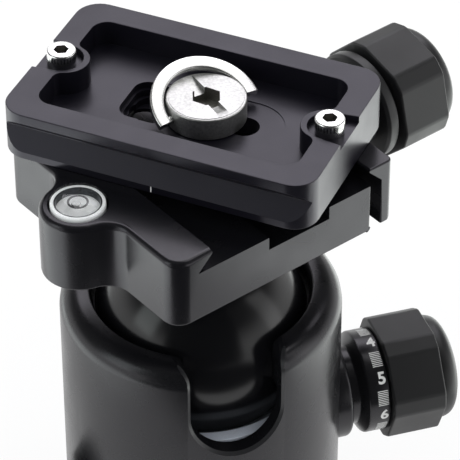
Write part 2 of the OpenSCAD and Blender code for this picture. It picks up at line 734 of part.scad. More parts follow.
module sliding_jaw() color(black) at_clamp() difference() {
    union() {
        intersection() {
            translate([0, clamp_l / 2, 0]) rotate([90, 0, 0]) linear_extrude(height = clamp_l) polygon([
                [tip_u, clamp_h - jaw_land], [tip_u, clamp_h - 0.3], [tip_u + 0.3, clamp_h],
                [jaw_out, clamp_h], [jaw_out, 0.4 + lower_round], [jaw_out - 0.3 * lower_round, 0.4 + 0.3 * lower_round],
                [jaw_out - lower_round, 0.4], [leg_u, 0.4], [leg_u, clamp_h - jaw_land - dovetail]]);
            linear_extrude(height = clamp_h + over) polygon(concat(
                arc([jaw_out - jaw_end_round, clamp_l / 2 - jaw_end_round], jaw_end_round, 0, 90, 8),
                [[tip_u - over, clamp_l / 2], [tip_u - over, -clamp_l / 2]],
                arc([jaw_out - jaw_end_round, -clamp_l / 2 + jaw_end_round], jaw_end_round, 270, 360, 8)));
        }
        translate([0, 0, clamp_screw_z]) turned_x([
            [0, leg_u + 0.5], [jaw_boss_r, leg_u + 0.5], [jaw_boss_r, jaw_boss_end - 0.6],
            [jaw_boss_r - 0.6, jaw_boss_end], [0, jaw_boss_end]]);
    }
    translate([0, 0, clamp_screw_z]) bar_x(0, jaw_boss_end + over, clamp_screw_r + run_gap);
    for (s = [-1, 1]) translate([0, s * guide_out, guide_z]) bar_x(0, leg_u + 2, guide_r);
}

module guide_pins() color(steel) at_clamp() for (s = [-1, 1])
    translate([0, s * guide_out, guide_z]) bar_x(guide_tip, leg_u + 2, guide_r);

module clamp_screw() color(steel) at_clamp_screw() difference() {
    bar_x(relief_end + 3.4, clamp_grip_u + knob_bore - 1, clamp_screw_r);
    translate([leg_u - 0.1 - clip_t, 0, 0]) rotate([0, 90, 0]) tube(0, clip_t, clamp_screw_r + over, clamp_screw_r - 0.5);
}

module screw_clip() color(steel) at_clamp_screw() translate([leg_u - 0.1 - clip_t, 0, 0]) rotate([0, 90, 0])
    difference() {
        tube(0, clip_t, clip_r, clamp_screw_r - 0.5);
        translate([-clip_r - over, -1.2, -over]) cube([clip_r + over, 2.4, clip_t + 2 * over]);
    }

module clamp_knob_core() color(black) at_clamp_screw() translate([knob_u + waist_l + collar_l, 0, 0])
    knob_core([
        [0, -waist_l - collar_l], [jaw_boss_r - 1, -waist_l - collar_l], [jaw_boss_r - 1, -collar_l],
        [collar_r - 0.5, -collar_l], [collar_r, -collar_l + 0.5], [collar_r, -0.4], [collar_r - 0.4, 0],
        [hub_r, 0]], clamp_screw_r);

module clamp_knob_grip() color(rubber) at_clamp_screw() translate([clamp_grip_u, 0, 0]) grip(45.6);

// ---------------------------------------------------------------- quick-release plate

// Plan of the recess: a rounded rectangle with a round boss standing in at each end
function recess_quarter() =
    let (
        hx = recess_l / 2,
        fx = hx - end_fillet,
        fy = sqrt(pow(end_boss_r + end_fillet, 2) - pow(end_boss_x - fx, 2)),
        a = atan2(fy, fx - end_boss_x))
    concat(
        arc([end_boss_x, 0], end_boss_r, 180, a, 6),
        arc([fx, fy], end_fillet, a - 180, 0, 6),
        arc([hx - recess_corner, recess_w / 2 - recess_corner], recess_corner, 0, 90, 8));

module recess_outline() {
    quarter = recess_quarter();
    half = concat(quarter, [for (i = [len(quarter) - 1:-1:0]) [-quarter[i][0], quarter[i][1]]]);
    polygon(concat(half, flip_y(half)));
}

module slot_outline(r, x0, x1) {
    polygon(concat(arc([x1, 0], r, -90, 90, 16), arc([x0, 0], r, 90, 270, 16)));
}

module plate_side_groove() {
    z_in = -rim_edge - groove_d;
    z_out = -plate_t + 1.5;
    translate([-plate_l / 2 - over, 0, 0]) rotate([90, 0, 90]) linear_extrude(height = plate_l + 2 * over) polygon([
        [plate_w / 2 + over, -rim_edge], [plate_w / 2, -rim_edge],
        [plate_w / 2 - groove_d, z_in], [plate_w / 2 - groove_d, z_in - 0.1],
        [plate_w / 2, z_out], [plate_w / 2 + over, z_out]]);
}

module camera_plate() color(black) at_plate() difference() {
    translate([0, 0, -plate_t]) linear_extrude(height = plate_t) polygon(rounded(plate_l, plate_w, plate_corner));
    translate([0, 0, -recess_d]) linear_extrude(height = recess_d + over) recess_outline();
    plate_side_groove();
    mirror([0, 1, 0]) plate_side_groove();
    for (s = [0, 180]) rotate(s) {
        translate([0, 0, -pocket_d]) linear_extrude(height = pocket_d + over) polygon(concat(
            arc([stop_out, 0], pocket_r, 90, 270, 12),
            [[plate_l / 2 + over, -pocket_r - 0.6], [plate_l / 2 + over, pocket_r + 0.6]]));
        translate([stop_out, 0, -plate_t + 1.2]) cylinder(h = plate_t, r = 1.5);
        translate([plate_l / 2 - pad_end - pad_l / 2, 0, -plate_t - over])
            linear_extrude(height = pad_t + over) polygon(rounded(pad_l, pad_w, 2));
    }
    translate([0, 0, -recess_d - 0.15]) linear_extrude(height = over) slot_outline(7.4, -slot_reach + 6, slot_reach);
    translate([0, 0, -plate_t - over]) linear_extrude(height = plate_t) slot_outline(slot_r, -slot_reach, slot_reach);
    translate([0, 0, -plate_t - over]) linear_extrude(height = over + retainer_t + 0.3)
        slot_outline(retainer_r + 0.3, screw_x - 6.1, slot_reach - 2.7);
    for (i = [0:ledges - 1])
        translate([-slot_reach - slot_r + window_l / 2 - 0.5, 0, -recess_d - ledge_step * (i + 1)])
            linear_extrude(height = ledge_step + over)
                polygon(rounded(window_l - 2 * ledge * i, window_w - 2 * ledge * i, slot_r));
}

module plate_pads() color(rubber) at_plate() for (s = [-1, 1])
    translate([s * (plate_l / 2 - pad_end - pad_l / 2), 0, -plate_t])
        linear_extrude(height = pad_t) polygon(rounded(pad_l, pad_w, 2));

module stop_screws() color(steel) at_plate() for (s = [-1, 1]) translate([s * stop_out, 0, 0]) difference() {
    rotate_extrude() polygon([
        [0, -plate_t + 1.4], [1.5, -plate_t + 1.4], [1.5, -pocket_d], [stop_r, -pocket_d],
        [stop_r, stop_proud - 0.3], [stop_r - 0.3, stop_proud], [0, stop_proud]]);
    translate([0, 0, stop_proud - 1.6]) cylinder(h = 1.6 + over, r = 1.45, $fn = 6);
}

// ---------------------------------------------------------------- camera screw and D-ring

module camera_screw() color(steel) at_camera_screw() difference() {
    rotate_extrude() polygon([
        [0, -plate_t - camera_thread_l], [camera_thread_r - 0.5, -plate_t - camera_thread_l],
        [camera_thread_r, -plate_t - camera_thread_l + 0.6], [camera_thread_r, -plate_t - slip],
        [screw_neck_r, -plate_t - slip], [screw_neck_r, head_bottom], [head_r, head_bottom],
        [head_r, head_top - 0.45], [head_r - 0.45, head_top], [0, head_top]]);
    rotate(coin_yaw) translate([-head_r - over, -coin_w / 2, head_top - coin_d])
        cube([2 * (head_r + over), coin_w, coin_d + over]);
    translate([0, 0, head_top - 2.6]) cylinder(h = 2.6 + over, r = 2.85, $fn = 6);
    translate([0, 0, ring_z]) rotate(ring_yaw) for (a = [0, 180]) rotate(a)
        bar_x(ring_pin_in - 0.2, head_r + over, ring_pin_r + run_gap);
}

module screw_retainer() color(steel) at_camera_screw() difference() {
    tube(-plate_t, -plate_t + retainer_t, retainer_r, screw_neck_r + run_gap);
    translate([0, -1.1, -plate_t - over]) cube([retainer_r + over, 2.2, retainer_t + 2 * over]);
}

module d_ring() color(steel) at_ring() rotate([ring_tilt, 0, 0]) {
    difference() {
        tube(-ring_t / 2, ring_t / 2, ring_out, ring_in);
        translate([-ring_out - over, -ring_out - over, -over])
            cube([2 * (ring_out + over), ring_out + over - ring_end, 2 * over]);
    }
    for (a = [0, 180]) rotate(a) bar_x(ring_pin_in, ring_in + 0.6, ring_pin_r);
}

base_plate();
tripod_bush();
spindle_screws();
pan_spindle();
glide_ring();
housing();
housing_circlip();
pan_bearing();
pan_thrust_washer();
floor_disc();
cup_spring();
counter_wedge();
seat_ring();
lock_bush();
pressure_cup();
cup_liner();
lock_plunger();
lock_screw();
lock_knob_core();
lock_knob_grip();
drag_dial();
pan_screw();
pan_knob_core();
pan_knob_grip();
pan_shoe();
ball();
neck();
clamp_body();
clamp_bolt();
level_base();
level_dome();
jaw_springs();
sliding_jaw();
guide_pins();
clamp_screw();
screw_clip();
clamp_knob_core();
clamp_knob_grip();
camera_plate();
plate_pads();
stop_screws();
camera_screw();
screw_retainer();
d_ring();
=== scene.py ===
import math
import bmesh
import bpy
from mathutils import Matrix, Vector


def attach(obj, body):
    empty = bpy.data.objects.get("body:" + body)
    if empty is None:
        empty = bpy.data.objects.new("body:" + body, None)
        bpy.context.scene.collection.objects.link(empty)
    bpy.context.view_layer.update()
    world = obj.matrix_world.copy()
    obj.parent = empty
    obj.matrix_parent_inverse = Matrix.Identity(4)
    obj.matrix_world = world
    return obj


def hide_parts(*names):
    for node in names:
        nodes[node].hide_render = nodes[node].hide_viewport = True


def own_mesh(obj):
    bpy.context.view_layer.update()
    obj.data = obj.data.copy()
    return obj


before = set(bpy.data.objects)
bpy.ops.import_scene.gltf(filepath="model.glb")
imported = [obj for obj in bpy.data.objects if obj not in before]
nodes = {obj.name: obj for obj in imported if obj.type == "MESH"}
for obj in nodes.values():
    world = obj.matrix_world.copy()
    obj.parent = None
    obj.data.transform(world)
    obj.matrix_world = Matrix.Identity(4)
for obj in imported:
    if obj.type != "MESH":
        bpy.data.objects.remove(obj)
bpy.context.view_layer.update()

# ---------------------------------------------------------------- camera
# A long lens on a high stand, looking down on the head from the side of the drop notch. The
# stand is a hair off level.
camera_place = Vector((-0.1233, -0.4223, 0.4318))
camera_line = Vector((0.2279, 0.7455, -0.6263))
camera_roll = math.radians(-0.08)
camera_data = bpy.data.cameras.new("studio_camera")
camera_data.sensor_width = 36
camera_data.lens = 237.5
camera_data.clip_start = 0.01
camera_data.clip_end = 20
camera = bpy.data.objects.new("studio_camera", camera_data)
bpy.context.scene.collection.objects.link(camera)
camera.rotation_mode = "QUATERNION"
camera.location = camera_place
camera.rotation_quaternion = (camera_line.to_track_quat("-Z", "Y")
                              @ Matrix.Rotation(camera_roll, 3, "Z").to_quaternion())
bpy.context.scene.camera = camera

# ---------------------------------------------------------------- studio
# A white sweep under the head and a white room round it that darkens overhead. One soft box
# lights it from behind and one from above, panels and floor cards from the sides. Black
# cloths in front of the head, on the floor and upright, are seen only by what shines.
bpy.context.scene.view_settings.view_transform = "Standard"


def fill(node, values):
    for socket, value in values.items():
        node.inputs[socket].default_value = value


def any_of(tree, sockets):
    total = sockets[0]
    for socket in sockets[1:]:
        most = tree.nodes.new("ShaderNodeMath")
        most.operation = "MAXIMUM"
        tree.links.new(total, most.inputs[0])
        tree.links.new(socket, most.inputs[1])
        total = most.outputs[0]
    return total


def shown_rays(tree):
    ray = tree.nodes.new("ShaderNodeLightPath")
    kinds = ("Is Camera Ray", "Is Glossy Ray", "Is Transmission Ray")
    return any_of(tree, [ray.outputs[kind] for kind in kinds])


def swap(tree, choice, plain, shown, out):
    # sends plain to the output, or shown where the choice is 1
    pick = tree.nodes.new("ShaderNodeMixShader")
    tree.links.new(choice, pick.inputs[0])
    tree.links.new(plain.outputs[0], pick.inputs[1])
    tree.links.new(shown.outputs[0], pick.inputs[2])
    tree.links.new(pick.outputs[0], out.inputs["Surface"])


air_light = 0.72
overhead_light = 0.1
# heights above the horizon, as sines, between which the room goes dark
dusk_low = 0.12
dusk_high = 0.5
world = bpy.data.worlds.new("studio_air")
bpy.context.scene.world = world
world.use_nodes = True
tree = world.node_tree
tree.nodes.clear()
out = tree.nodes.new("ShaderNodeOutputWorld")
air = tree.nodes.new("ShaderNodeBackground")
fill(air, {"Color": (0.97, 0.99, 1.0, 1), "Strength": air_light})
room = tree.nodes.new("ShaderNodeBackground")
fill(room, {"Color": (1, 1, 1, 1)})
height = tree.nodes.new("ShaderNodeSeparateXYZ")
tree.links.new(tree.nodes.new("ShaderNodeTexCoord").outputs["Generated"], height.inputs[0])
fade = tree.nodes.new("ShaderNodeMapRange")
fade.interpolation_type = "SMOOTHSTEP"
fill(fade, {"From Min": dusk_low, "From Max": dusk_high, "To Min": 1, "To Max": overhead_light})
tree.links.new(height.outputs["Z"], fade.inputs["Value"])
through = tree.nodes.new("ShaderNodeLightPath").outputs["Is Transmission Ray"]
tree.links.new(any_of(tree, [fade.outputs["Result"], through]), room.inputs["Strength"])
swap(tree, shown_rays(tree), air, room, out)

sweep_size = 6.0
glow_share = 0.85
bm = bmesh.new()
bmesh.ops.create_grid(bm, x_segments=1, y_segments=1, size=sweep_size / 2)
sweep_mesh = bpy.data.meshes.new("sweep")
bm.to_mesh(sweep_mesh)
bm.free()
sweep = bpy.data.objects.new("sweep", sweep_mesh)
bpy.context.scene.collection.objects.link(sweep)
sweep_paper = bpy.data.materials.new("sweep_paper")
sweep_paper.use_nodes = True
tree = sweep_paper.node_tree
tree.nodes.clear()
out = tree.nodes.new("ShaderNodeOutputMaterial")
paper = tree.nodes.new("ShaderNodeBsdfDiffuse")
fill(paper, {"Color": (0.95, 0.95, 0.95, 1)})
glow = tree.nodes.new("ShaderNodeEmission")
fill(glow, {"Color": (1, 1, 1, 1), "Strength": 1})
share = tree.nodes.new("ShaderNodeMath")
share.operation = "MULTIPLY"
fill(share, {1: glow_share})
tree.links.new(shown_rays(tree), share.inputs[0])
swap(tree, share.outputs[0], paper, glow, out)
sweep_mesh.materials.append(sweep_paper)


def soft_box(name, place, width, height, radiance, tint=(1, 1, 1), aim=(0, 0, 0.07)):
    light = bpy.data.lights.new(name, "AREA")
    light.shape = "RECTANGLE"
    light.size = width
    light.size_y = height
    light.energy = radiance * math.pi * width * height
    light.color = tint
    lamp = bpy.data.objects.new(name, light)
    bpy.context.scene.collection.objects.link(lamp)
    lamp.rotation_mode = "QUATERNION"
    lamp.location = Vector(place)
    lamp.rotation_quaternion = (Vector(aim) - Vector(place)).to_track_quat("-Z", "Y")
    lamp.visible_camera = False


soft_box("back_box", (0.19, 0.44, 0.57), 0.6, 0.42, 2.2, (0.96, 0.94, 1.0))
soft_box("top_box", (0.3, 0.2, 1.0), 0.76, 0.4, 1.45)
soft_box("right_panel", (0.9, -0.35, 0.45), 0.35, 0.9, 0.9)
soft_box("left_panel", (-0.9, -0.12, 0.55), 0.45, 0.6, 1.6, (0.93, 1.0, 0.99))
soft_box("right_card", (0.22, 0.14, 0.002), 0.26, 0.5, 1.5, (0.94, 1.0, 0.95), (0.22, 0.14, 1))
soft_box("left_card", (-0.24, 0.16, 0.002), 0.26, 0.5, 1.3, (0.92, 1.0, 0.97), (-0.24, 0.16, 1))

cloth = bpy.data.materials.new("black_cloth")
cloth.use_nodes = True
fill(cloth.node_tree.nodes["Principled BSDF"], {"Base Color": (0.01, 0.01, 0.01, 1), "Roughness": 1})
flat_place = Matrix.Translation((-0.08, -0.275, 0.001))
upright_place = (Matrix.Translation((-0.13, -0.46, 0.475)) @ Matrix.Rotation(math.radians(-15), 4, "Z")
                 @ Matrix.Rotation(math.pi / 2, 4, "X"))
for name, width, length, place in (("floor_cloth", 0.5, 0.37, flat_place),
                                   ("front_cloth", 0.8, 0.95, upright_place)):
    bm = bmesh.new()
    bmesh.ops.create_grid(bm, x_segments=1, y_segments=1, size=0.5)
    bmesh.ops.scale(bm, vec=(width, length, 1), verts=bm.verts)
    bm.transform(place)
    hung_mesh = bpy.data.meshes.new(name)
    bm.to_mesh(hung_mesh)
    bm.free()
    hung_mesh.materials.append(cloth)
    hung = bpy.data.objects.new(name, hung_mesh)
    bpy.context.scene.collection.objects.link(hung)
    hung.visible_camera = False
    hung.visible_diffuse = False
    hung.visible_transmission = False
    hung.visible_shadow = False

# ---------------------------------------------------------------- base
# A flat turned disc that stands on the tripod, black anodised aluminium, with a scale
# printed round its edge. Four screws and a threaded bush hold the steel spindle to it.
mm = 0.001


def shift(x, y, z):
    return Matrix.Translation((x * mm, y * mm, z * mm))


def turned(degrees, axis):
    return Matrix.Rotation(math.radians(degrees), 4, axis)


def noise(tree, vector, scale, detail):
    grains = tree.nodes.new("ShaderNodeTexNoise")
    fill(grains, {"Scale": scale, "Detail": detail})
    tree.links.new(vector, grains.inputs["Vector"])
    return grains.outputs["Fac"]


def bump(tree, height, depth, under=None):
    rise = tree.nodes.new("ShaderNodeBump")
    fill(rise, {"Strength": 1, "Distance": depth * mm})
    tree.links.new(height, rise.inputs["Height"])
    if under is not None:
        tree.links.new(under, rise.inputs["Normal"])
    return rise.outputs["Normal"]


def ring_vector(tree, place, centre, axis):
    # turns a point into its distance from the lathe's axis and its place along it
    middle = tree.nodes.new("ShaderNodeMapping")
    fill(middle, {"Location": [-c * mm for c in centre]})
    tree.links.new(place, middle.inputs["Vector"])
    parts = tree.nodes.new("ShaderNodeSeparateXYZ")
    tree.links.new(middle.outputs["Vector"], parts.inputs[0])
    flat = tree.nodes.new("ShaderNodeCombineXYZ")
    for across, socket in zip([a for a in "XYZ" if a != axis], "XY"):
        tree.links.new(parts.outputs[across], flat.inputs[socket])
    reach = tree.nodes.new("ShaderNodeVectorMath")
    reach.operation = "LENGTH"
    tree.links.new(flat.outputs[0], reach.inputs[0])
    spun = tree.nodes.new("ShaderNodeCombineXYZ")
    tree.links.new(reach.outputs["Value"], spun.inputs["X"])
    tree.links.new(parts.outputs[axis], spun.inputs["Y"])
    return spun.outputs[0]


def finish(name, colour, roughness, metallic=0.0, tint=(1, 1, 1), grain=0.3, relief=0.003, mottle=0.15,
           spread=0.04, rings=None, ring_relief=0.0012, drawn=None):
    # a mottled colour and an uneven polish; rings gives the centre and axis of turning marks,
    # drawn the direction of milling marks; grain and relief are in mm
    mat = bpy.data.materials.new(name)
    mat.use_nodes = True
    tree = mat.node_tree
    shader = tree.nodes["Principled BSDF"]
    fill(shader, {"Metallic": metallic, "Specular Tint": (*tint, 1)})
    place = tree.nodes.new("ShaderNodeTexCoord").outputs["Object"]
    low, high = 0.3, 0.7  # the reach of nearly all of a noise
    fine = noise(tree, place, 1 / (grain * mm), 3)
    shade = tree.nodes.new("ShaderNodeValToRGB")
    for stop, position, share in zip(shade.color_ramp.elements, (low, high), (1 - mottle, 1 + mottle)):
        stop.position = position
        stop.color = (*[min(c * share, 1) for c in colour], 1)
    tree.links.new(fine, shade.inputs[0])
    tree.links.new(shade.outputs["Color"], shader.inputs["Base Color"])
    polish = tree.nodes.new("ShaderNodeMapRange")
    fill(polish, {"From Min": low, "From Max": high, "To Min": max(roughness - spread, 0.02),
                  "To Max": roughness + spread})
    tree.links.new(noise(tree, place, 120, 4), polish.inputs["Value"])
    tree.links.new(polish.outputs["Result"], shader.inputs["Roughness"])
    marks = None
    if rings:
        ring_gap = 0.12
        marks = bump(tree, noise(tree, ring_vector(tree, place, *rings), 1 / (ring_gap * mm), 2), ring_relief)
    if drawn is not None:
        line_gap = 0.2
        along = tree.nodes.new("ShaderNodeMapping")
        along.vector_type = "TEXTURE"
        fill(along, {"Rotation": (0, 0, math.radians(drawn)), "Scale": (40, 1, 1)})
        tree.links.new(place, along.inputs["Vector"])
        marks = bump(tree, noise(tree, along.outputs["Vector"], 1 / (line_gap * mm), 2), 0.003)
    tree.links.new(bump(tree, fine, relief, marks), shader.inputs["Normal"])
    return mat


def round_off(bm, geom, width, segments, affect, **more):
    bmesh.ops.bevel(bm, geom=geom, offset=width * mm, offset_type="OFFSET", segments=segments, profile=0.5,
                    affect=affect, material=-1, clamp_overlap=False, **more)


def lathe(profile, steps):
    # spins a closed outline of (radius, height, fillet) corners round Z
    bm = bmesh.new()
    points = [bm.verts.new((r * mm, 0, z * mm)) for r, z, _ in profile]
    for a, b in zip(points, points[1:]):
        bm.edges.new((a, b))
    if profile[0][0] > 0 or profile[-1][0] > 0:
        bm.edges.new((points[-1], points[0]))
    for point, (_, _, fillet) in zip(points, profile):
        if fillet:
            round_off(bm, [point], fillet, 5, "VERTICES")
    bmesh.ops.spin(bm, geom=bm.verts[:] + bm.edges[:], cent=(0, 0, 0), axis=(0, 0, 1), angle=2 * math.pi,
                   steps=steps, use_merge=True, use_duplicate=False)
    bmesh.ops.remove_doubles(bm, verts=bm.verts, dist=1e-6)
    bmesh.ops.recalc_face_normals(bm, faces=bm.faces)
    return bm


def shade_smooth(mesh, sharp=32):
    mesh.polygons.foreach_set("use_smooth", [True] * len(mesh.polygons))
    mesh.set_sharp_from_angle(angle=math.radians(sharp))


def settle(name, bm, body, material, stands_for=(), sharp=32, place=None):
    # makes a bmesh a piece of the head; with no body it is only a tool for a cut
    if place is not None:
        bm.transform(place)
    mesh = bpy.data.meshes.new(name)
    bm.to_mesh(mesh)
    bm.free()
    if "custom_normal" in mesh.attributes:
        mesh.attributes.remove(mesh.attributes["custom_normal"])
    shade_smooth(mesh, sharp)
    mesh.materials.append(material)
    piece = bpy.data.objects.new(name, mesh)
    bpy.context.scene.collection.objects.link(piece)
    if body:
        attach(piece, body)
    if stands_for:
        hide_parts(*stands_for)
    return piece


def apply_steps(piece):
    mesh = bpy.data.meshes.new_from_object(piece.evaluated_get(bpy.context.evaluated_depsgraph_get()))
    piece.modifiers.clear()
    piece.data = mesh


def cut(piece, tools, way="DIFFERENCE"):
    for tool in tools:
        step = piece.modifiers.new("cut", "BOOLEAN")
        step.operation = way
        step.solver = "EXACT"
        step.material_mode = "TRANSFER"
        step.object = tool
    apply_steps(piece)
    shade_smooth(piece.data)
    for tool in tools:
        bpy.data.objects.remove(tool)


def bar(name, radius, low, high, place, sides=48, material=None):
    bm = bmesh.new()
    bmesh.ops.create_cone(bm, cap_ends=True, segments=sides, radius1=radius * mm, radius2=radius * mm,
                          depth=(high - low) * mm, matrix=shift(0, 0, (high + low) / 2))
    return settle(name, bm, None, material or anodised, place=place)


def dress(material, *names):
    for name in names:
        nodes[name].data.materials.clear()
        nodes[name].data.materials.append(material)


anodised = finish("black_anodised", (0.006, 0.006, 0.0075), 0.25, tint=(0.96, 0.93, 1.0))
turned_black = finish("turned_black", (0.006, 0.006, 0.0072), 0.27, tint=(0.97, 0.95, 1.0),
                      rings=((0, 0, 0), "Z"))
dark_steel = finish("dark_steel", (0.2, 0.2, 0.21), 0.34, metallic=1, rings=((0, 0, 0), "Z"))
bright_steel = finish("bright_steel", (0.86, 0.86, 0.85), 0.24, metallic=1, relief=0.0006, mottle=0.03,
                      spread=0.03)
liner_white = finish("liner", (0.6, 0.64, 0.72), 0.35, mottle=0.04)
paint_white = finish("paint_white", (0.8, 0.8, 0.78), 0.5, grain=0.1, relief=0.002, mottle=0.08)

base_r = 27.6
base_t = 9.4
base = settle("base_disc", lathe([
    (6.45, 0, 0.3), (16.6, 0, 0), (16.6, 0.3, 0), (22.6, 0.3, 0), (22.6, 0, 0), (base_r, 0, 0.6),
    (base_r, base_t - 2, 0.3), (base_r - 0.7, base_t, 0.2), (14.55, base_t, 0), (14.55, base_t - 3, 0),
    (6.45, base_t - 3, 0)], 192), "base", turned_black, ["base_plate"])
screw_circle_r = 11
screw_holes = []
for k in range(4):
    turn = turned(45 + 90 * k, "Z") @ shift(screw_circle_r, 0, 0)
    screw_holes += [bar("hole", 3.35, -1, 3.8, turn), bar("hole", 2.15, 3, 10, turn)]
cut(base, screw_holes)


def thicken(bm, by):
    # gives flat faces a thickness, as a closed skin
    grown = bmesh.ops.extrude_face_region(bm, geom=bm.faces[:], use_keep_orig=True)
    far = [g for g in grown["geom"] if isinstance(g, bmesh.types.BMVert)]
    bmesh.ops.translate(bm, verts=far, vec=[b * mm for b in by])


mark_t = 0.05


def wrap(bm, radius, place):
    # bends a flat mark in X (along the axis) and Y (round it) onto a drum, partly let into it
    strips = 6
    let_in = 0.7
    bmesh.ops.triangulate(bm, faces=bm.faces)
    rows = [v.co.y for v in bm.verts]
    low, high = min(rows), max(rows)
    for k in range(1, strips):
        bmesh.ops.bisect_plane(bm, geom=bm.verts[:] + bm.edges[:] + bm.faces[:], dist=1e-7,
                               plane_co=(0, low + (high - low) * k / strips, 0), plane_no=(0, 1, 0))
    thicken(bm, (0, 0, mark_t))
    for v in bm.verts:
        turn = v.co.y / (radius * mm)
        reach = radius * mm + v.co.z - mark_t * mm * let_in
        v.co = Vector((v.co.x, math.sin(turn) * reach, math.cos(turn) * reach))
    bmesh.ops.recalc_face_normals(bm, faces=bm.faces)
    bm.transform(place)
    return bm


def digits(text, size):
    digit_share = 0.7  # of a digit's height in the size of its type
    curve = bpy.data.curves.new("digits", "FONT")
    curve.body = text
    curve.size = size * mm / digit_share
    curve.offset = 0.045 * size * mm
    curve.align_x = "CENTER"
    curve.align_y = "CENTER"
    sheet = bpy.data.objects.new("digits", curve)
    bpy.context.scene.collection.objects.link(sheet)
    mesh = bpy.data.meshes.new_from_object(sheet.evaluated_get(bpy.context.evaluated_depsgraph_get()))
    bpy.data.objects.remove(sheet)
    bm = bmesh.new()
    bm.from_mesh(mesh)
    bmesh.ops.remove_doubles(bm, verts=bm.verts, dist=1e-7)
    return bm


def stroke(width, length):
    bm = bmesh.new()
    bmesh.ops.create_grid(bm, x_segments=1, y_segments=1, size=0.5 * mm)
    bmesh.ops.scale(bm, vec=(width, length, 1), verts=bm.verts)
    return bm


def gather(parts):
    whole = bpy.data.meshes.new("marks")
    bm = bmesh.new()
    for part in parts:
        part.to_mesh(whole)
        bm.from_mesh(whole)
        part.free()
    return bm


# a line every 5 degrees, and a long one with its number every 30
line_step = 5
long_step = 30
line_top = 7.0
number_z = 4.2
scale_marks = []
for degrees in range(0, 360, line_step):
    # +X of a mark runs along the axis, so a mark is laid on an upright drum by turning X to Z
    upright = turned(degrees, "Z") @ turned(-90, "Y")
    is_long = degrees % long_step == 0
    tick = stroke(1.5 if is_long else 0.8, 0.22)
    bmesh.ops.translate(tick, verts=tick.verts, vec=((line_top - (0.75 if is_long else 0.4)) * mm, 0, 0))
    scale_marks.append(wrap(tick, base_r, upright))
    if is_long:
        number = digits(str(degrees), 1.5)
        across = Matrix.Rotation(math.radians(-90), 3, "Z")
        bmesh.ops.rotate(number, cent=(0, 0, 0), matrix=across, verts=number.verts)
        bmesh.ops.translate(number, verts=number.verts, vec=(number_z * mm, 0, 0))
        scale_marks.append(wrap(number, base_r, upright))
settle("pan_scale", gather(scale_marks), "base", paint_white, sharp=40)

dress(dark_steel, "spindle_screws", "pan_spindle")
dress(liner_white, "glide_ring")


def thread(root, crest, pitch, low, high):
    # one ridge of a three-cornered section wound from low to high
    steps = 48
    section = ((root, 0.08), (crest, 0.5), (root, 0.92))
    bm = bmesh.new()
    corners = [bm.verts.new((r * mm, 0, (low + z * pitch) * mm)) for r, z in section]
    for k in range(3):
        bm.edges.new((corners[k], corners[(k + 1) % 3]))
    turns = (high - low) / pitch - 1
    bmesh.ops.spin(bm, geom=bm.verts[:] + bm.edges[:], cent=(0, 0, 0), axis=(0, 0, 1),
                   angle=2 * math.pi * turns, dvec=(0, 0, pitch * mm / steps), steps=round(steps * turns),
                   use_merge=False, use_duplicate=False)
    bmesh.ops.holes_fill(bm, edges=bm.edges, sides=3)
    bmesh.ops.recalc_face_normals(bm, faces=bm.faces)
    return bm


bush = lathe([(4.9, 0, 0.4), (6.45, 0, 0.2), (6.45, 10.4, 0), (8.2, 10.4, 0), (8.2, 12.4, 0.2),
              (4.9, 12.4, 0.2)], 96)
tripod_pitch = 1.5875
bush_thread = thread(4.95, 4.4, tripod_pitch, 0.1, 12.3)
settle("tripod_bush_cut", gather([bush, bush_thread]), "base", bright_steel, ["tripod_bush"])

# ---------------------------------------------------------------- housing
# The cup round the ball, turned from aluminium and black anodised. A drop notch is milled
# down its front and broken with a bright bevel; bosses carry the two locking knobs.
ball_z = 55.5
lock_z = 32.5
pan_z = 17.39
housing_r = 26.75
cavity_r = 23.4
lip_r = 20.6
rim_top = 65.5
rim_round = 3.9
lock_line = shift(0, 0, lock_z) @ turned(90, "Y")
wedge_line = shift(0, 0, lock_z) @ turned(-90, "Y")
pan_line = shift(0, 0, pan_z) @ turned(-90, "Y")

housing = settle("housing_cup", lathe([
    (24.2, 9.9, 0.2), (housing_r, 9.9, 0.4), (housing_r, rim_top, rim_round), (lip_r + 0.6, rim_top, 0.25),
    (lip_r, rim_top - 1.2, 0.25), (lip_r, ball_z + 6.5, 0), (cavity_r, ball_z + 6.5, 0), (cavity_r, 24.5, 0),
    (24.2, 24.5, 0), (24.2, 12.1, 0), (25.2, 12.1, 0), (25.2, 10.9, 0), (24.2, 10.9, 0)], 256),
    "housing", turned_black, ["housing"])
lock_boss = settle("boss", lathe([(0, 24.5, 0), (10.15, 24.5, 0), (10.15, 28.2, 0.9), (0, 28.2, 0)], 128),
                   None, turned_black, place=lock_line)
pan_boss = settle("boss", lathe([(0, 24.6, 0), (6.2, 24.6, 0), (6.2, 28.0, 0.4), (0, 28.0, 0)], 96),
                  None, turned_black, place=pan_line)
cut(housing, [lock_boss, pan_boss], "UNION")

notch_half = 8.7
notch_low = -0.9
notch_flare = 2.4
notch_top = 10.1
notch_turn = shift(0, 0, ball_z) @ turned(-1.5, "Z")
# the notch's edge as (x, z, wall direction x, z): down the left flare and side, round and up again
edge = []
flare_z = notch_top - notch_flare
for k in range(17):
    a = math.radians(90 - 90 * k / 16)
    edge.append((-notch_half - notch_flare + notch_flare * math.cos(a), flare_z + notch_flare * math.sin(a),
                 -math.cos(a), -math.sin(a)))
for k in range(1, 10):
    edge.append((-notch_half, flare_z - (flare_z - notch_low) * k / 10, -1, 0))
for k in range(25):
    a = math.radians(180 + 90 * k / 24)
    edge.append((notch_half * math.cos(a), notch_low + notch_half * math.sin(a), math.cos(a), math.sin(a)))
edge += [(-x, z, -i, j) for x, z, i, j in reversed(edge[:-1])]


